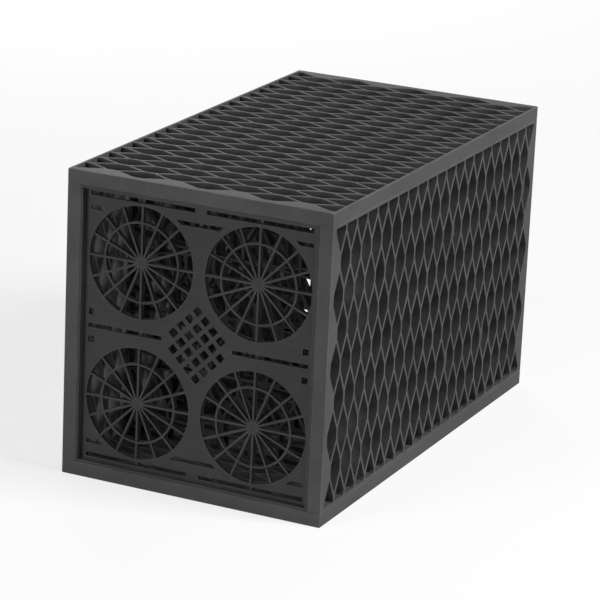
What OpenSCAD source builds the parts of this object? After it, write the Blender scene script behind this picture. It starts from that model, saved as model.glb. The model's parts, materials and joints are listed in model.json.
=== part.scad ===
/* [Crate] */
// Width of the crate, across an end plate
crate_w = 400; // [396:1:600]
// Length of the crate, over both end plates
crate_l = 715; // [500:1:1200]
// Height of the crate, over the top and bottom plates
crate_h = 440; // [420:1:600]
// Thickness of every plate
plate_t = 20; // [18:0.5:30]

/* [Ribs] */
// Rim that frames each plate
rim_t = 4; // [3:0.5:10]
// Rim at the two ends of a large plate
end_rim = 9.5; // [4:0.5:14]
// Thickness of the lattice ribs
rib_t = 4; // [2.5:0.5:6]

/* [Small plate lattice] */
// Cells across a small plate
small_cols = 8; // [6:2:12]
// Rows of cells up a small plate
small_rows = 5; // [3:2:9]
// Length of the upright rib between two cells
small_upright = 49; // [30:1:60]
// Radius of the arched cross ribs
arch_r = 970; // [700:10:2000]
// Thickness of the arched cross ribs
arch_t = 3; // [2:0.5:5]
// Distance between the centre lines of two paired arches where they come closest
arch_gap = 1; // [0.5:0.5:4]
// Half length of the bar that fills the middle of a pair of arches
arch_bar = 66; // [30:1:80]

/* [Large plate lattice] */
// Cells along a large plate
large_cols = 21; // [12:1:36]
// Row spacings across a large plate
large_rows = 8; // [4:2:12]
// Length of the cross rib between two cells
large_upright = 16; // [8:1:30]

/* [Pipe ports] */
// Bore of the large pipe that a port takes
port_d = 160; // [110:1:164]
// Bore of the small pipe that a port takes
port_inner_d = 110; // [50:1:125]
// Space from the side rim to a port
port_edge_x = 7; // [5:0.5:12]
// Space from the top or bottom rim to a port
port_edge_z = 15; // [5:0.5:20]
// Wall of the port collars
port_wall = 4; // [2.5:0.5:6]
// Spokes in each port
port_spokes = 16; // [8:2:24]
// Width of the spokes and the inner ring
spoke_t = 3; // [2:0.5:5]
// Diameter of the hub where the spokes meet
port_hub_d = 13; // [10:1:40]
// Depth of the ring and spokes, front to back
port_grille_t = 8; // [4:0.5:12]
// Step from the web back to the ring and spokes
grille_inset = 1; // [0:0.5:2]

/* [Port plate web] */
// Step from the front of the rim back to the web
web_inset = 9; // [0:0.5:10]
// Thickness of the flat web round the ports
web_t = 5; // [3:0.5:6]
// Height of the slots in the web
slot_h = 6; // [3:0.5:8]
// Step from the outer row of slots to the next one
slot_step = 20; // [12:1:30]
// Side of the small openings beside the rim
edge_hole = 9; // [5:0.5:12]
// Half spacing of the diamond openings between the four ports
diamond_pitch = 12; // [10:0.5:14]

/* [Tabs] */
// Width of the tabs that join the plates
tab_w = 24; // [12:1:40]
// Thickness of a tab
tab_t = 8; // [5:0.5:9]
// Height of a tab above the edge that carries it
tab_h = 8; // [4:0.5:10]
// Clearance round a tab in its socket
tab_gap = 0.3; // [0.1:0.05:0.6]
// Wall round a socket
socket_wall = 4; // [2.5:0.5:6]

/* [Hidden] */
$fn = 96;
arc_fn = 1440;
inner_count = 4;

// The side plates stand between the top and bottom plates,
// and the small plates stand between all four.
side_h = crate_h - 2 * plate_t;
small_w = crate_w - 2 * plate_t;
small_h = side_h;
small_pitch_y = (crate_l - plate_t) / (inner_count + 1);
first_y = -(crate_l - plate_t) / 2;
mid_z = crate_h / 2;

// Lattice window of a small plate and its cells
small_win = [small_w - 2 * rim_t, small_h - 2 * rim_t];
small_pitch = small_win[0] / small_cols;
small_row = (small_win[1] - small_upright) / (small_rows - 1);

// Tab positions along the edges of the plates, from the middle of the edge
small_tab_x = small_w / 4;
small_tab_z = small_h / 4;
socket_depth = tab_h + tab_gap;
pad_t = socket_depth + 3;

// Port centres from the middle of the plate
port_x = small_win[0] / 2 - port_edge_x - port_d / 2;
port_z = small_win[1] / 2 - port_edge_z - port_d / 2;
strip_w = 2 * port_x - port_d;

// Levels of the port end plate, from its back
web_front = plate_t - web_inset;
grille_front = web_front - grille_inset;
grille_t = min(port_grille_t, grille_front);

// Diamond openings between the ports: their side and half diagonal
diamond_side = diamond_pitch * sqrt(2) - 1.5 * rib_t;
diamond_half = diamond_side / sqrt(2);

plastic = [0.24, 0.25, 0.26];
plastic_small = [0.28, 0.29, 0.30];
plastic_port = [0.32, 0.33, 0.34];

// Place along the crate of a small plate: 0 is the port end, inner_count + 1 the rear end
function small_y(i) = first_y + i * small_pitch_y;

// One lattice opening: a six-sided cell with upright sides, points up and down,
// drawn half a rib inside its centre lines
module cell(pitch, upright, row) {
  slope = 2 * (row - upright) / pitch;
  half_w = (pitch - rib_t) / 2;
  tip = row - upright / 2 - rib_t / 2 * sqrt(1 + slope * slope);
  shoulder = tip - slope * half_w;
  polygon([
    [half_w, -shoulder], [half_w, shoulder], [0, tip],
    [-half_w, shoulder], [-half_w, -shoulder], [0, -tip]
  ]);
}

// One arched rib, curving away from its row towards the sides
module arch(side) {
  intersection() {
    square([small_win[0] + rim_t, small_row], center = true);
    translate([0, side * (arch_gap / 2 + arch_r)])
      difference() {
        circle(r = arch_r + arch_t / 2, $fn = arc_fn);
        circle(r = arch_r - arch_t / 2, $fn = arc_fn);
      }
  }
}

// The pair of arches of one row and the bar between them
module arch_pair() {
  for (side = [-1, 1]) arch(side);
  square([2 * arch_bar, arch_t + arch_gap], center = true);
}

// Openings of the small lattice: rows are staggered by half a cell
module small_openings() {
  for (k = [0:small_rows - 1])
    translate([0, (k - (small_rows - 1) / 2) * small_row])
      difference() {
        intersection() {
          square([small_win[0], 2 * small_row], center = true);
          for (i = [0:small_cols - k % 2])
            translate([(i + (k % 2) / 2 - small_cols / 2) * small_pitch, 0])
              cell(small_pitch, small_upright, small_row);
        }
        arch_pair();
      }
}

// Flat outline of a small lattice plate
module small_lattice() {
  difference() {
    square([small_w, small_h], center = true);
    intersection() {
      square(small_win, center = true);
      small_openings();
    }
  }
}

// Openings of the large lattice: every second row is staggered by half a cell,
// and its end cells stay closed
module large_openings(win) {
  pitch = win[0] / large_cols;
  row = win[1] / large_rows;
  intersection() {
    square(win, center = true);
    for (k = [0:large_rows], i = [0:large_cols - 1 - k % 2])
      translate([(i + (1 + k % 2) / 2 - large_cols / 2) * pitch, (k - large_rows / 2) * row])
        cell(pitch, large_upright, row);
  }
}

// A socket or the pad round it: a rectangle at each of the given places
module places(points, size) {
  for (p = points) translate(p) square(size, center = true);
}

// Sockets take a tab and its clearance, pads add a wall round the socket
function socket_size(size) = [for (s = size) s + 2 * tab_gap];
function pad_size(size) = [for (s = size) s + 2 * (tab_gap + socket_wall)];

// A large plate lying flat with its inner face up: the lattice goes right through,
// and the pads that hold the sockets fill it behind the inner face.
// cross_tabs are the tabs of the small plates, edge_tabs those of the side plates.
module large_plate(across, cross_tabs, edge_tabs) {
  outline = [crate_l, across];
  along = [tab_t, tab_w];
  edge = [tab_w, tab_t];
  difference() {
    union() {
      linear_extrude(plate_t)
        difference() {
          square(outline, center = true);
          large_openings([crate_l - 2 * end_rim, across - 2 * rim_t]);
        }
      translate([0, 0, plate_t - pad_t])
        linear_extrude(pad_t)
          intersection() {
            square(outline, center = true);
            union() {
              places(cross_tabs, pad_size(along));
              places(edge_tabs, pad_size(edge));
            }
          }
    }
    translate([0, 0, plate_t - socket_depth])
      linear_extrude(plate_t) {
        places(cross_tabs, socket_size(along));
        places(edge_tabs, socket_size(edge));
      }
  }
}

// Places of the small plates' tabs on a large plate, at a distance either side of its middle
function cross_places(v) = [for (i = [0:inner_count + 1], side = [-1, 1]) [small_y(i), side * v]];

// Places of the side plates' tabs, one in each bay between two small plates
bay_places = [for (i = [0:inner_count]) small_y(i + 0.5)];

module top_or_bottom() {
  side_v = (crate_w - plate_t) / 2;
  large_plate(
    crate_w, cross_places(small_tab_x),
    [for (u = bay_places, side = [-1, 1]) [u, side * side_v]]
  );
}

// A side plate lying flat, with its own tabs on both long edges
module side_flat() {
  large_plate(side_h, cross_places(small_tab_z), []);
  for (u = bay_places, side = [-1, 1])
    translate([u, side * (side_h + tab_h - rim_t) / 2, plate_t / 2])
      cube([tab_w, tab_h + rim_t, tab_t], center = true);
}

// Tabs on the four edges of a small plate
module small_tabs() {
  for (a = [-1, 1], b = [-1, 1]) {
    translate([a * small_tab_x, b * (small_h + tab_h - rim_t) / 2, plate_t / 2])
      cube([tab_w, tab_h + rim_t, tab_t], center = true);
    translate([a * (small_w + tab_h - rim_t) / 2, b * small_tab_z, plate_t / 2])
      cube([tab_h + rim_t, tab_w, tab_t], center = true);
  }
}

// Stands a flat small plate at its place along the crate, its upper face to the port end
module stand_small(i) {
  translate([0, small_y(i) + plate_t / 2, mid_z]) rotate([90, 0, 0]) children();
}

module lattice_plate(i) {
  stand_small(i) {
    linear_extrude(plate_t) small_lattice();
    small_tabs();
  }
}

// Repeats a shape at the four ports
module at_ports() {
  for (a = [-1, 1], b = [-1, 1]) translate([a * port_x, b * port_z]) children();
}

// Ring, spokes and hub that close a port until a pipe is fitted
module port_grille() {
  difference() {
    circle(d = port_inner_d + 2 * spoke_t);
    circle(d = port_inner_d);
  }
  circle(d = port_hub_d);
  for (i = [0:port_spokes / 2 - 1])
    rotate(i * 360 / port_spokes)
      square([port_d + port_wall, spoke_t], center = true);
}

// True where a diamond at this place keeps clear of the port collars
function diamond_fits(p) =
  norm([port_x - abs(p[0]), port_z - abs(p[1])]) > port_d / 2 + port_wall + diamond_half;

// Diamond openings in the middle of the web
module diamonds() {
  for (i = [-4:4], j = [-4:4]) {
    p = [(i - j) * diamond_pitch, (i + j) * diamond_pitch];
    if (abs(i - j) < 4 && abs(i + j) < 6 && diamond_fits(p))
      translate(p) rotate(45) square(diamond_side, center = true);
  }
}

// Openings in the flat web: the ports, the rows of slots, the small holes beside the rim
// and the diamonds in the middle
module web_openings() {
  edge_x = small_win[0] / 2 - 2 * rim_t;
  slot_z = (small_win[1] - port_edge_z) / 2;
  slot_l = edge_x - strip_w / 2;
  mid_l = edge_x - 4.5 * diamond_pitch;
  at_ports() circle(d = port_d);
  for (a = [-1, 1]) {
    for (b = [-1, 1]) {
      translate([a * (strip_w + slot_l) / 2, b * slot_z])
        square([slot_l, slot_h], center = true);
      translate([a * (edge_x - edge_hole / 2), b * slot_step])
        square(edge_hole, center = true);
    }
    translate([a * (edge_x - mid_l / 2), 0]) square([mid_l, slot_h], center = true);
  }
  difference() {
    for (b = [-1, 1])
      translate([0, b * (slot_z - slot_step)])
        square([2 * edge_x, slot_h], center = true);
    at_ports() circle(d = port_d + 2 * port_wall + 2 * rib_t);
  }
  diamonds();
}

// Ribs behind the web, from the collars to the rim and to each other
module web_ribs() {
  for (b = [-1, 1]) {
    translate([0, b * port_z]) square([small_win[0], rib_t], center = true);
    translate([b * port_x, 0]) square([rib_t, small_win[1]], center = true);
  }
}

module port_end_plate() {
  color(plastic_port) stand_small(0) {
    linear_extrude(plate_t)
      difference() {
        square([small_w, small_h], center = true);
        square(small_win, center = true);
      }
    linear_extrude(web_front)
      at_ports() difference() {
        circle(d = port_d + 2 * port_wall);
        circle(d = port_d);
      }
    translate([0, 0, web_front - web_t])
      linear_extrude(web_t)
        difference() {
          square([small_w, small_h], center = true);
          web_openings();
        }
    linear_extrude(web_front - web_t)
      difference() {
        web_ribs();
        at_ports() circle(d = port_d);
      }
    translate([0, 0, grille_front - grille_t])
      linear_extrude(grille_t) at_ports() port_grille();
    small_tabs();
  }
}

module rear_end_plate() {
  color(plastic_small) lattice_plate(inner_count + 1);
}

module inner_plate(i) {
  color(plastic_small) lattice_plate(i);
}

module top_plate() {
  color(plastic) translate([0, 0, crate_h]) mirror([0, 0, 1]) rotate(90) top_or_bottom();
}

module bottom_plate() {
  color(plastic) rotate(90) top_or_bottom();
}

module side_plate(side) {
  color(plastic)
    translate([side * crate_w / 2, 0, mid_z])
      rotate([0, -side * 90, 0])
        rotate(90) side_flat();
}

module left_side_plate() {
  side_plate(-1);
}

module right_side_plate() {
  side_plate(1);
}

top_plate();
bottom_plate();
left_side_plate();
right_side_plate();
port_end_plate();
rear_end_plate();
inner_plate(1);  // inner_plate_1
inner_plate(2);  // inner_plate_2
inner_plate(3);  // inner_plate_3
inner_plate(4);  // inner_plate_4
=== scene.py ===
"""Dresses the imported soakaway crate: softened plates, moulded plastic, floor, lamps and camera."""
import json
import math

import bmesh
import bpy
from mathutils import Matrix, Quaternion, Vector


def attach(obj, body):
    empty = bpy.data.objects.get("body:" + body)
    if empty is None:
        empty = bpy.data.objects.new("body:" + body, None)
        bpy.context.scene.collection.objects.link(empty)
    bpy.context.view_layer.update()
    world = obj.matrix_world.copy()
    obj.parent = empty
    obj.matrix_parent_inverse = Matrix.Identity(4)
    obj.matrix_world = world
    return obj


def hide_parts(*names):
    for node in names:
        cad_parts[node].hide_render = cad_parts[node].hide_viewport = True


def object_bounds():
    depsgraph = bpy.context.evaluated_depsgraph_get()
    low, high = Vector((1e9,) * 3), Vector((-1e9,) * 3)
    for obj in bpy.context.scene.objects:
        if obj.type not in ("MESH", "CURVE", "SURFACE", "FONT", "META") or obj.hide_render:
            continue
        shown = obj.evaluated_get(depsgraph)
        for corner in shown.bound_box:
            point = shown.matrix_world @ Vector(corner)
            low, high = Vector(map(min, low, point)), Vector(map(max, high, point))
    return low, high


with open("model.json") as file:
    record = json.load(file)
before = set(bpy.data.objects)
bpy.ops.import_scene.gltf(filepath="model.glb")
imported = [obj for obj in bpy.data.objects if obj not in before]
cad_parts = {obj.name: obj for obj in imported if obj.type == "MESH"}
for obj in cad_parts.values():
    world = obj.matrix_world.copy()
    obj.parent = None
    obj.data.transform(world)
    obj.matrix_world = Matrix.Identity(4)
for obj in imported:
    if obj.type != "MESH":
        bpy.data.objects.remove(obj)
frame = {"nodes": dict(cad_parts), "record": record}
CAD_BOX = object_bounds()
SLOT_COLOURS = {m["slot"]: tuple(m["base_color"]) for m in frame["record"]["materials"]}

bl_info = {
    "name": "Soakaway Crate",
    "version": (1, 0, 0),
    "blender": (4, 5, 0),
    "location": "View3D > Sidebar > Crate",
    "description": "Softens the edges of the crate's plates and gives them moulded plastic",
    "category": "Object",
}

# Plates, lengths in metres

BODY = "root"
LARGE_PLATES = ("top_plate", "bottom_plate", "left_side_plate", "right_side_plate")
SMALL_PLATES = (
    "rear_end_plate", "inner_plate_1", "inner_plate_2", "inner_plate_3", "inner_plate_4",
)
PORT_PLATE = "port_end_plate"
MERGE_DISTANCE = 1e-5
FLAT_ANGLE = math.radians(1.0)
SMOOTH_ANGLE = math.radians(60.0)
BEVEL_SEGMENTS = 1
ROUNDED_SLOT = 1
EDGE_ATTRIBUTE = "rounded_edge"

# Plastic: lengths in metres, noise scales per metre, ranges of the noise unless said

SPECULAR_LEVEL = 0.15
PLASTIC_IOR = 1.49
# Amount of the pale coat on rounded edges: partly rubbed wear, partly a painted highlight along the
# edges
WEAR_AND_HIGHLIGHT_AMOUNTS = {"large_plate": 0.5, "small_plate": 0.4, "port_plate": 0.5}
DUST_AMOUNTS = {"large_plate": 0.05, "small_plate": 0.04, "port_plate": 0.05}
SCUFFS_PER_WEAR = 0.5

GRAIN_SIZE = 0.0016
GRAIN_DETAIL = 3.0
GRAIN_ROUGHNESS = 0.6
GRAIN_STRENGTH = 0.5

FLOW_SCALES_AND_SHARES = ((7.0, 0.4), (38.0, 0.35), (260.0, 0.25))
FLOW_RANGE = (0.32, 0.68)
FLOW_CONTRAST = 0.26

SCUFF_TURNS = ((0.2, 0.5, 0.9), (1.0, -0.4, 2.2))
SCUFF_SIZE = (0.06, 0.003, 0.003)
SCUFF_RANGE = (0.62, 0.74)
SCUFF_PATCHES = {"scale": 11.0, "detail": 3.0, "low": 0.48, "high": 0.68}
# Patches of the pale rounded edges, which are rubbed wear and a painted highlight
WEAR_AND_HIGHLIGHT_PATCHES = {"scale": 22.0, "detail": 4.0, "low": 0.35, "high": 0.62, "least": 0.25}
DUST_PATCHES = {"scale": 35.0, "detail": 5.0, "low": 0.35, "high": 0.7, "least": 0.2}
DUST_SLOPE = (0.5, 0.95)  # height of the normal where dust begins, and where it is full

# What each effect adds to the roughness
FLOW_ROUGHENS = 0.06
SCUFFS_ROUGHEN = 0.2
WEAR_ROUGHENS = -0.15
DUST_ROUGHENS = 0.5

# Stage, lengths in metres

FLOOR_SIZE = 40.0
FLOOR_ROUGHNESS = 0.9
FLOOR_GLOW = 0.74  # share of plain white in the floor near the crate
FLOOR_FADE = (0.8, 5.0)  # distances between which that share grows to all
LAMP_SIZE = 1.6
LAMP_PLACES = {
    "front": (-1.8, -3.9, 1.1),
    "side": (3.3, 0.0, 3.1),
    "rear": (-2.7, 3.5, 0.9),
}
LAMP_AIM = (0.0, 0.0, 0.2)
CAMERA_AIM = (-0.010, -0.005, 0.193)
SENSOR_WIDTH = 36.0
WHITE = (1.0, 1.0, 1.0, 1.0)


# Settings

class CrateEdgeSettings(bpy.types.PropertyGroup):
    """Rounding of the moulded edges"""

    large_width: bpy.props.FloatProperty(
        name="Large plates",
        description="How far a rounded edge of a large plate reaches in from the sharp edge",
        default=0.0007,
        min=0.0001,
        max=0.001,
        unit="LENGTH",
    )
    small_width: bpy.props.FloatProperty(
        name="Small plates",
        description="The same on small plates and port plate, under half of their smallest step",
        default=0.00045,
        min=0.0001,
        max=0.00048,
        unit="LENGTH",
    )
    sharp_angle: bpy.props.FloatProperty(
        name="Sharp angle",
        description="Edges that stand out and turn by more than this are rounded",
        default=math.radians(35),
        subtype="ANGLE",
    )


class CratePlasticSettings(bpy.types.PropertyGroup):
    """Finish of the moulded plastic"""

    large_colour: bpy.props.FloatVectorProperty(
        name="Large plates",
        description="Colour of the plastic of the top, bottom and side plates",
        default=SLOT_COLOURS["large_plate"],
        size=3,
        subtype="COLOR",
    )
    # Set darker than the large plates: the plastic's own tone plus painted shade of the crate's
    # inside, seen through the ports
    small_colour_and_painted_shade: bpy.props.FloatVectorProperty(
        name="Small plates",
        description="Colour of the plastic of the rear and inner plates",
        default=SLOT_COLOURS["small_plate"],
        size=3,
        subtype="COLOR",
    )
    # Set darker than the large plates: the plastic's own tone plus painted shade of the recessed web
    port_colour_and_painted_shade: bpy.props.FloatVectorProperty(
        name="Port plate",
        description="Colour of the plastic of the end plate with the pipe ports",
        default=SLOT_COLOURS["port_plate"],
        size=3,
        subtype="COLOR",
    )
    # Pale colour of the scuffs, and of the rounded edges, where it is both rubbed wear and a painted
    # highlight
    worn_and_highlight_colour: bpy.props.FloatVectorProperty(
        name="Worn plastic",
        description="Colour of the plastic where handling has rubbed or scuffed it",
        default=(0.15, 0.15, 0.152),
        size=3,
        subtype="COLOR",
    )
    dust_colour: bpy.props.FloatVectorProperty(
        name="Dust",
        description="Colour of the dust on faces that look up",
        default=(0.28, 0.278, 0.274),
        size=3,
        subtype="COLOR",
    )
    roughness: bpy.props.FloatProperty(
        name="Roughness",
        description="Mean roughness of the moulded surface",
        default=0.7,
        min=0.0,
        max=1.0,
        subtype="FACTOR",
    )
    grain_size: bpy.props.FloatProperty(
        name="Grain size",
        description="Size of the fine texture that the mould leaves",
        default=GRAIN_SIZE,
        unit="LENGTH",
    )
    grain_depth: bpy.props.FloatProperty(
        name="Grain depth",
        description="Depth of the fine texture that the mould leaves",
        default=0.00008,
        unit="LENGTH",
    )


class CrateStageSettings(bpy.types.PropertyGroup):
    """Floor, lamps and camera"""

    floor_colour: bpy.props.FloatVectorProperty(
        name="Floor",
        description="Colour of the floor",
        default=(0.88, 0.88, 0.88),
        size=3,
        subtype="COLOR",
    )
    front_power: bpy.props.FloatProperty(
        name="Front lamp",
        description="Power of the lamp in front and left of the crate",
        default=108.0,
        unit="POWER",
    )
    side_power: bpy.props.FloatProperty(
        name="Side lamp",
        description="Power of the lamp above and right of the crate",
        default=238.0,
        unit="POWER",
    )
    rear_power: bpy.props.FloatProperty(
        name="Rear lamp",
        description="Power of the lamp behind and left of the crate",
        default=100.0,
        unit="POWER",
    )
    ambient: bpy.props.FloatProperty(
        name="Ambient",
        description="Strength of the light that comes from all round",
        default=0.02,
        min=0.0,
    )
    azimuth: bpy.props.FloatProperty(
        name="Azimuth",
        description="Camera's turn round the crate from straight in front of the ports",
        default=math.radians(25.06),
        subtype="ANGLE",
    )
    elevation: bpy.props.FloatProperty(
        name="Elevation",
        description="Camera's height above the crate as an angle",
        default=math.radians(16.99),
        subtype="ANGLE",
    )
    roll: bpy.props.FloatProperty(
        name="Roll",
        description="Camera's turn about its own line of sight",
        default=math.radians(2.57),
        subtype="ANGLE",
    )
    distance: bpy.props.FloatProperty(
        name="Distance",
        description="Camera's distance from the middle of the crate",
        default=4.473,
        unit="LENGTH",
    )
    lens: bpy.props.FloatProperty(
        name="Lens",
        description="Focal length in millimetres",
        default=185.0,
    )


# Shader nodes

def feed(tree, socket, value):
    """Links a socket to the socket that is given, or sets it to the value"""
    if isinstance(value, bpy.types.NodeSocket):
        tree.links.new(value, socket)
    else:
        socket.default_value = value


def noise(tree, scale, detail=2.0, roughness=0.5, vector=None):
    """A noise texture on the object's own coordinates, or on those given"""
    node = tree.nodes.new("ShaderNodeTexNoise")
    feed(tree, node.inputs["Vector"], vector or object_coordinates(tree))
    feed(tree, node.inputs["Scale"], scale)
    feed(tree, node.inputs["Detail"], detail)
    feed(tree, node.inputs["Roughness"], roughness)
    return node.outputs["Fac"]


def ranged(tree, value, low, high, to_low=0.0, to_high=1.0):
    """A value mapped from one range to another and clamped to it"""
    node = tree.nodes.new("ShaderNodeMapRange")
    feed(tree, node.inputs["Value"], value)
    feed(tree, node.inputs["From Min"], low)
    feed(tree, node.inputs["From Max"], high)
    feed(tree, node.inputs["To Min"], to_low)
    feed(tree, node.inputs["To Max"], to_high)
    return node.outputs["Result"]


def patches(tree, scale, detail, low, high, least=0.0):
    """Soft patches: 1 where the noise is high, and the least value where it is low"""
    return ranged(tree, noise(tree, scale, detail), low, high, to_low=least)


def math_node(tree, operation, *values):
    """A math node whose inputs are sockets or numbers"""
    node = tree.nodes.new("ShaderNodeMath")
    node.operation = operation
    for socket, value in zip(node.inputs, values):
        feed(tree, socket, value)
    return node.outputs["Value"]


def mixed(tree, factor, first, second):
    """A colour mixed from two colour sockets by a factor"""
    node = tree.nodes.new("ShaderNodeMix")
    node.data_type = "RGBA"
    # Mix repeats its socket names for each kind of data, so these go by number
    for number, source in ((0, factor), (6, first), (7, second)):
        feed(tree, node.inputs[number], source)
    return node.outputs[2]


def object_coordinates(tree):
    return tree.nodes.new("ShaderNodeTexCoord").outputs["Object"]


# Shader groups

def new_group(name, inputs, outputs):
    """An empty shader group, whose sockets are rows of name, type and, on an input, default"""
    group = bpy.data.node_groups.new(name, "ShaderNodeTree")
    for in_out, rows in (("INPUT", inputs), ("OUTPUT", outputs)):
        for socket_name, kind, *default in rows:
            socket = group.interface.new_socket(socket_name, in_out=in_out, socket_type=kind)
            if default:
                socket.default_value = default[0]
    return group, group.nodes.new("NodeGroupInput"), group.nodes.new("NodeGroupOutput")


def new_coat(name):
    """An empty shader group for an effect that lays one colour over another"""
    return new_group(
        name,
        [
            ("Colour", "NodeSocketColor"),
            ("Coat Colour", "NodeSocketColor"),
            ("Amount", "NodeSocketFloat", 1.0),
        ],
        [("Colour", "NodeSocketColor"), ("Mask", "NodeSocketFloat")],
    )


def lay_coat(group, start, end, mask):
    """Puts out the coated colour, and the mask times the amount"""
    mask = math_node(group, "MULTIPLY", mask, start.outputs["Amount"])
    coated = mixed(group, mask, start.outputs["Colour"], start.outputs["Coat Colour"])
    group.links.new(coated, end.inputs["Colour"])
    group.links.new(mask, end.inputs["Mask"])


def build_grain():
    """Fine texture that the mould leaves, as a height from 0 to 1"""
    group, start, end = new_group(
        "moulded_grain",
        [("Size", "NodeSocketFloat", GRAIN_SIZE)],
        [("Height", "NodeSocketFloat")],
    )
    scale = math_node(group, "DIVIDE", 1.0, start.outputs["Size"])
    height = noise(group, scale, GRAIN_DETAIL, GRAIN_ROUGHNESS)
    group.links.new(height, end.inputs["Height"])
    return group


def build_mottle():
    """Slow changes of shade where the melt flowed and cooled, and fine flecks"""
    group, start, end = new_group(
        "flow_mottle",
        [("Colour", "NodeSocketColor")],
        [("Colour", "NodeSocketColor"), ("Shift", "NodeSocketFloat")],
    )
    shift = 0.0
    for scale, share in FLOW_SCALES_AND_SHARES:
        change = ranged(group, noise(group, scale), *FLOW_RANGE, to_low=-1.0)
        shift = math_node(group, "MULTIPLY_ADD", change, share, shift)
    bright = group.nodes.new("ShaderNodeHueSaturation")
    value = math_node(group, "MULTIPLY_ADD", shift, FLOW_CONTRAST, 1.0)
    group.links.new(start.outputs["Colour"], bright.inputs["Color"])
    group.links.new(value, bright.inputs["Value"])
    group.links.new(bright.outputs["Color"], end.inputs["Colour"])
    group.links.new(shift, end.inputs["Shift"])
    return group


def build_scuffs():
    """Thin pale scuffs in patches, longer than wide, that run in two directions"""
    group, start, end = new_coat("fine_scuffs")
    mask = 0.0
    for turn in SCUFF_TURNS:
        streaks = group.nodes.new("ShaderNodeMapping")
        streaks.vector_type = "TEXTURE"
        streaks.inputs["Rotation"].default_value = turn
        streaks.inputs["Scale"].default_value = SCUFF_SIZE
        group.links.new(object_coordinates(group), streaks.inputs["Vector"])
        streak = noise(group, 1.0, vector=streaks.outputs["Vector"])
        mask = math_node(group, "MAXIMUM", ranged(group, streak, *SCUFF_RANGE), mask)
    mask = math_node(group, "MULTIPLY", mask, patches(group, **SCUFF_PATCHES))
    lay_coat(group, start, end, mask)
    return group


def build_wear_and_highlight():
    """Rubbed edges and a painted edge highlight: the rounded faces turn paler in patches"""
    group, start, end = new_coat("worn_edges")
    rounded = group.nodes.new("ShaderNodeAttribute")
    rounded.attribute_name = EDGE_ATTRIBUTE
    mask = math_node(group, "MULTIPLY", rounded.outputs["Fac"], patches(group, **WEAR_AND_HIGHLIGHT_PATCHES))
    lay_coat(group, start, end, mask)
    return group


def build_dust():
    """A thin film of dust on faces that look up"""
    group, start, end = new_coat("settled_dust")
    normal = group.nodes.new("ShaderNodeNewGeometry").outputs["Normal"]
    axes = group.nodes.new("ShaderNodeSeparateXYZ")
    group.links.new(normal, axes.inputs["Vector"])
    upward = ranged(group, axes.outputs["Z"], *DUST_SLOPE)
    mask = math_node(group, "MULTIPLY", upward, patches(group, **DUST_PATCHES))
    lay_coat(group, start, end, mask)
    return group


GROUP_BUILDERS = {
    "moulded_grain": build_grain,
    "flow_mottle": build_mottle,
    "fine_scuffs": build_scuffs,
    "worn_edges": build_wear_and_highlight,
    "settled_dust": build_dust,
}


def place_group(tree, name):
    """The named shader group in a material, built the first time it is asked for"""
    node = tree.nodes.new("ShaderNodeGroup")
    node.node_tree = bpy.data.node_groups.get(name) or GROUP_BUILDERS[name]()
    return node


def moulded_plastic(slot, colour):
    """Matte moulded plastic with grain, flow marks, scuffs, rubbed edges with a painted highlight
    and a little dust
    """
    finish = bpy.context.scene.crate_plastic
    material = bpy.data.materials.new(slot + "_plastic")
    material.use_nodes = True
    tree = material.node_tree
    shader = tree.nodes["Principled BSDF"]
    shader.inputs["Specular IOR Level"].default_value = SPECULAR_LEVEL
    shader.inputs["IOR"].default_value = PLASTIC_IOR

    mottle = place_group(tree, "flow_mottle")
    mottle.inputs["Colour"].default_value = (*colour, 1.0)
    shade = mottle.outputs["Colour"]
    flow = mottle.outputs["Shift"]
    rough = math_node(tree, "MULTIPLY_ADD", flow, FLOW_ROUGHENS, finish.roughness)
    edge_wear_and_highlight = WEAR_AND_HIGHLIGHT_AMOUNTS[slot]
    for name, coat_colour, amount, roughening in (
        ("fine_scuffs", finish.worn_and_highlight_colour, edge_wear_and_highlight * SCUFFS_PER_WEAR, SCUFFS_ROUGHEN),
        # Pales the rounded edges: rubbed wear and a painted edge highlight
        ("worn_edges", finish.worn_and_highlight_colour, edge_wear_and_highlight, WEAR_ROUGHENS),
        ("settled_dust", finish.dust_colour, DUST_AMOUNTS[slot], DUST_ROUGHENS),
    ):
        coat = place_group(tree, name)
        tree.links.new(shade, coat.inputs["Colour"])
        coat.inputs["Coat Colour"].default_value = (*coat_colour, 1.0)
        coat.inputs["Amount"].default_value = amount
        shade = coat.outputs["Colour"]
        rough = math_node(tree, "MULTIPLY_ADD", coat.outputs["Mask"], roughening, rough)
    tree.links.new(shade, shader.inputs["Base Color"])
    tree.links.new(rough, shader.inputs["Roughness"])

    grain = place_group(tree, "moulded_grain")
    grain.inputs["Size"].default_value = finish.grain_size
    bump = tree.nodes.new("ShaderNodeBump")
    bump.inputs["Strength"].default_value = GRAIN_STRENGTH
    bump.inputs["Distance"].default_value = finish.grain_depth
    tree.links.new(grain.outputs["Height"], bump.inputs["Height"])
    tree.links.new(bump.outputs["Normal"], shader.inputs["Normal"])
    return material


# Plates

def merged_copy(node, name, material):
    """A merged copy of a node's mesh at the origin, its flat faces joined, left in edit mode"""
    bpy.ops.object.select_all(action="DESELECT")
    mesh = frame["nodes"][node].data.copy()
    mesh.name = name
    mesh.materials.clear()
    mesh.materials.append(material)
    mesh.polygons.foreach_set("material_index", [0] * len(mesh.polygons))
    plate = bpy.data.objects.new(name, mesh)
    bpy.context.scene.collection.objects.link(plate)
    bpy.context.view_layer.objects.active = plate
    plate.select_set(True)
    bpy.ops.mesh.customdata_custom_splitnormals_clear()
    bpy.ops.object.mode_set(mode="EDIT")
    bpy.ops.mesh.select_mode(type="EDGE")
    bpy.ops.mesh.select_all(action="SELECT")
    bpy.ops.mesh.remove_doubles(threshold=MERGE_DISTANCE)
    bpy.ops.mesh.dissolve_limited(angle_limit=FLAT_ANGLE)
    return plate


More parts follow.
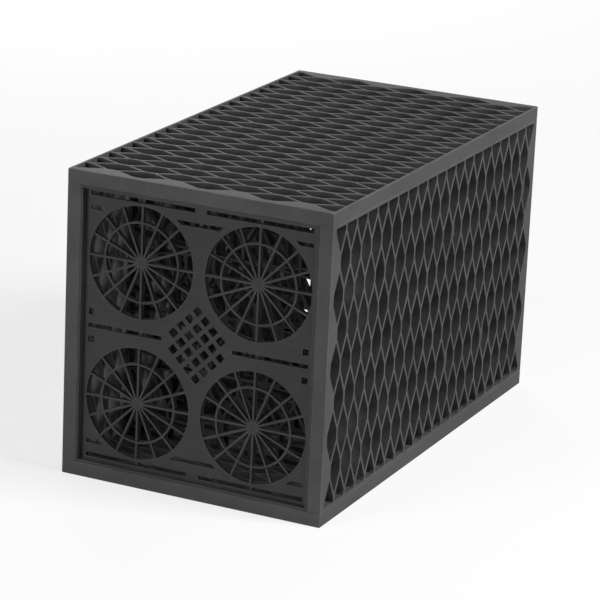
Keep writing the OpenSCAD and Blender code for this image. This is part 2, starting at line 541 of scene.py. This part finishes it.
def on_outside(vertex):
    """True for a point on one of the six sides of the crate"""
    return any(
        min(abs(place - low), abs(place - high)) < MERGE_DISTANCE
        for place, low, high in zip(vertex.co, *CAD_BOX)
    )


def select_corners(mesh, outside_only):
    """Selects the sharp edges that stand out, on the crate's outside alone if asked"""
    sharp_angle = bpy.context.scene.crate_edges.sharp_angle
    bpy.ops.mesh.select_all(action="DESELECT")
    shape = bmesh.from_edit_mesh(mesh)
    for edge in shape.edges:
        sharp = edge.is_convex and edge.calc_face_angle() > sharp_angle
        edge.select_set(sharp and (not outside_only or all(map(on_outside, edge.verts))))
    bmesh.update_edit_mesh(mesh)


def soften_edges(plate, width, outside_only):
    """Rounds the sharp edges that stand out, marks the rounded faces and shades the plate smooth"""
    mesh = plate.data
    # A second material slot tells the rounded faces from the others until they are marked
    mesh.materials.append(mesh.materials[0])
    select_corners(mesh, outside_only)
    bpy.ops.mesh.bevel(
        offset=width,
        segments=BEVEL_SEGMENTS,
        affect="EDGES",
        clamp_overlap=False,
        material=ROUNDED_SLOT,
    )
    bpy.ops.object.mode_set(mode="OBJECT")
    rounded = mesh.attributes.new(EDGE_ATTRIBUTE, "FLOAT", "FACE")
    marks = [float(face.material_index == ROUNDED_SLOT) for face in mesh.polygons]
    rounded.data.foreach_set("value", marks)
    mesh.polygons.foreach_set("material_index", [0] * len(mesh.polygons))
    mesh.materials.pop(index=ROUNDED_SLOT)
    bpy.ops.object.shade_smooth_by_angle(angle=SMOOTH_ANGLE)
    bpy.ops.object.modifier_add(type="WEIGHTED_NORMAL")
    weighting = plate.modifiers[-1]
    weighting.keep_sharp = True
    bpy.ops.object.modifier_apply(modifier=weighting.name)


def dress_plates(nodes, slot, colour, width, outside_only=False):
    """Puts a softened plate of moulded plastic in each node's place"""
    material = moulded_plastic(slot, colour)
    for node in nodes:
        plate = merged_copy(node, node + "_softened", material)
        soften_edges(plate, width, outside_only)
        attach(plate, BODY)
        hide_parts(node)


class CRATE_OT_large_plates(bpy.types.Operator):
    """Softens and finishes the top, bottom and side plates"""

    bl_idname = "crate.large_plates"
    bl_label = "Large plates"

    def execute(self, context):
        colour = context.scene.crate_plastic.large_colour
        width = context.scene.crate_edges.large_width
        dress_plates(LARGE_PLATES, "large_plate", colour, width, outside_only=True)
        return {"FINISHED"}


class CRATE_OT_small_plates(bpy.types.Operator):
    """Softens and finishes the rear plate and the inner plates"""

    bl_idname = "crate.small_plates"
    bl_label = "Small plates"

    def execute(self, context):
        # Darker than the large plates, as painted shade of the crate's inside
        colour = context.scene.crate_plastic.small_colour_and_painted_shade
        width = context.scene.crate_edges.small_width
        dress_plates(SMALL_PLATES, "small_plate", colour, width)
        return {"FINISHED"}


class CRATE_OT_port_plate(bpy.types.Operator):
    """Softens and finishes the end plate with the spoked pipe ports"""

    bl_idname = "crate.port_plate"
    bl_label = "Port plate"

    def execute(self, context):
        # Darker than the large plates, as painted shade of the recessed web
        colour = context.scene.crate_plastic.port_colour_and_painted_shade
        width = context.scene.crate_edges.small_width
        dress_plates((PORT_PLATE,), "port_plate", colour, width)
        return {"FINISHED"}


# Stage

def seen_directly(tree):
    """1 for rays from the eye, mirrors and glass, and 0 for light that falls on other things"""
    path = tree.nodes.new("ShaderNodeLightPath").outputs
    seen = math_node(tree, "MAXIMUM", path["Is Camera Ray"], path["Is Glossy Ray"])
    return math_node(tree, "MAXIMUM", seen, path["Is Transmission Ray"])


def floor_material(colour):
    """Pale floor that shows near white and keeps the crate's shadow"""
    material = bpy.data.materials.new("pale_floor")
    material.use_nodes = True
    tree = material.node_tree
    shader = tree.nodes["Principled BSDF"]
    shader.inputs["Base Color"].default_value = (*colour, 1.0)
    shader.inputs["Roughness"].default_value = FLOOR_ROUGHNESS
    shader.inputs["Specular IOR Level"].default_value = 0.0
    glow = tree.nodes.new("ShaderNodeEmission")
    mix = tree.nodes.new("ShaderNodeMixShader")
    reach = tree.nodes.new("ShaderNodeVectorMath")
    reach.operation = "LENGTH"
    tree.links.new(object_coordinates(tree), reach.inputs["Vector"])
    share = ranged(tree, reach.outputs["Value"], *FLOOR_FADE, to_low=FLOOR_GLOW)
    tree.links.new(math_node(tree, "MULTIPLY", seen_directly(tree), share), mix.inputs["Fac"])
    tree.links.new(shader.outputs["BSDF"], mix.inputs[1])
    tree.links.new(glow.outputs["Emission"], mix.inputs[2])
    tree.links.new(mix.outputs["Shader"], tree.nodes["Material Output"].inputs["Surface"])
    return material


def make_floor(colour):
    bpy.ops.object.select_all(action="DESELECT")
    bpy.ops.mesh.primitive_plane_add(size=FLOOR_SIZE, location=(0, 0, CAD_BOX[0].z))
    floor = bpy.context.object
    floor.name = "floor"
    floor.data.materials.append(floor_material(colour))


def make_world(ambient):
    """White where it is seen, and a weak even light elsewhere"""
    world = bpy.data.worlds.new("studio")
    bpy.context.scene.world = world
    world.use_nodes = True
    tree = world.node_tree
    background = tree.nodes["Background"]
    background.inputs["Color"].default_value = WHITE
    strength = math_node(tree, "MULTIPLY_ADD", seen_directly(tree), 1.0 - ambient, ambient)
    tree.links.new(strength, background.inputs["Strength"])


def make_lamp(name, place, power):
    """A square lamp that points at the crate and isn't seen itself"""
    lamp = bpy.data.lights.new(name, "AREA")
    lamp.shape = "SQUARE"
    lamp.size = LAMP_SIZE
    lamp.energy = power
    holder = bpy.data.objects.new(name, lamp)
    holder.location = place
    holder.rotation_mode = "QUATERNION"
    holder.rotation_quaternion = (Vector(LAMP_AIM) - Vector(place)).to_track_quat("-Z", "Y")
    holder.visible_camera = False
    bpy.context.scene.collection.objects.link(holder)


def make_camera(stage):
    """A camera at the set angles and distance from the middle of the crate"""
    data = bpy.data.cameras.new("camera")
    data.lens = stage.lens
    data.sensor_width = SENSOR_WIDTH
    holder = bpy.data.objects.new("camera", data)
    flat = math.cos(stage.elevation)
    back = Vector((
        math.sin(stage.azimuth) * flat,
        -math.cos(stage.azimuth) * flat,
        math.sin(stage.elevation),
    ))
    middle = Vector((0.0, 0.0, (CAD_BOX[0].z + CAD_BOX[1].z) / 2))
    holder.location = middle + back * stage.distance
    look = (Vector(CAMERA_AIM) - holder.location).to_track_quat("-Z", "Y")
    holder.rotation_mode = "QUATERNION"
    holder.rotation_quaternion = look @ Quaternion((0, 0, 1), stage.roll)
    bpy.context.scene.collection.objects.link(holder)
    bpy.context.scene.camera = holder


class CRATE_OT_stage(bpy.types.Operator):
    """Makes the floor, the lamps and the camera"""

    bl_idname = "crate.stage"
    bl_label = "Stage"

    def execute(self, context):
        stage = context.scene.crate_stage
        make_floor(stage.floor_colour)
        make_world(stage.ambient)
        for name, place in LAMP_PLACES.items():
            make_lamp(name + "_lamp", place, getattr(stage, name + "_power"))
        make_camera(stage)
        context.scene.view_settings.view_transform = "Standard"
        return {"FINISHED"}


# Add-on

SETTINGS = {
    "crate_edges": CrateEdgeSettings,
    "crate_plastic": CratePlasticSettings,
    "crate_stage": CrateStageSettings,
}
OPERATORS = (CRATE_OT_large_plates, CRATE_OT_small_plates, CRATE_OT_port_plate, CRATE_OT_stage)


class CRATE_PT_panel(bpy.types.Panel):
    """Steps and settings of the crate"""

    bl_idname = "CRATE_PT_panel"
    bl_label = "Soakaway Crate"
    bl_space_type = "VIEW_3D"
    bl_region_type = "UI"
    bl_category = "Crate"

    def draw(self, context):
        for operator in OPERATORS:
            self.layout.operator(operator.bl_idname)
        for name, settings in SETTINGS.items():
            box = self.layout.box()
            for key in settings.__annotations__:
                box.prop(getattr(context.scene, name), key)


def register():
    for cls in (*SETTINGS.values(), *OPERATORS, CRATE_PT_panel):
        bpy.utils.register_class(cls)
    for name, settings in SETTINGS.items():
        setattr(bpy.types.Scene, name, bpy.props.PointerProperty(type=settings))


def unregister():
    for name in SETTINGS:
        delattr(bpy.types.Scene, name)
    for cls in (CRATE_PT_panel, *reversed(OPERATORS), *reversed(SETTINGS.values())):
        bpy.utils.unregister_class(cls)


def main():
    register()
    bpy.ops.crate.large_plates()
    bpy.ops.crate.small_plates()
    bpy.ops.crate.port_plate()
    bpy.ops.crate.stage()


if __name__ == "__main__":
    main()
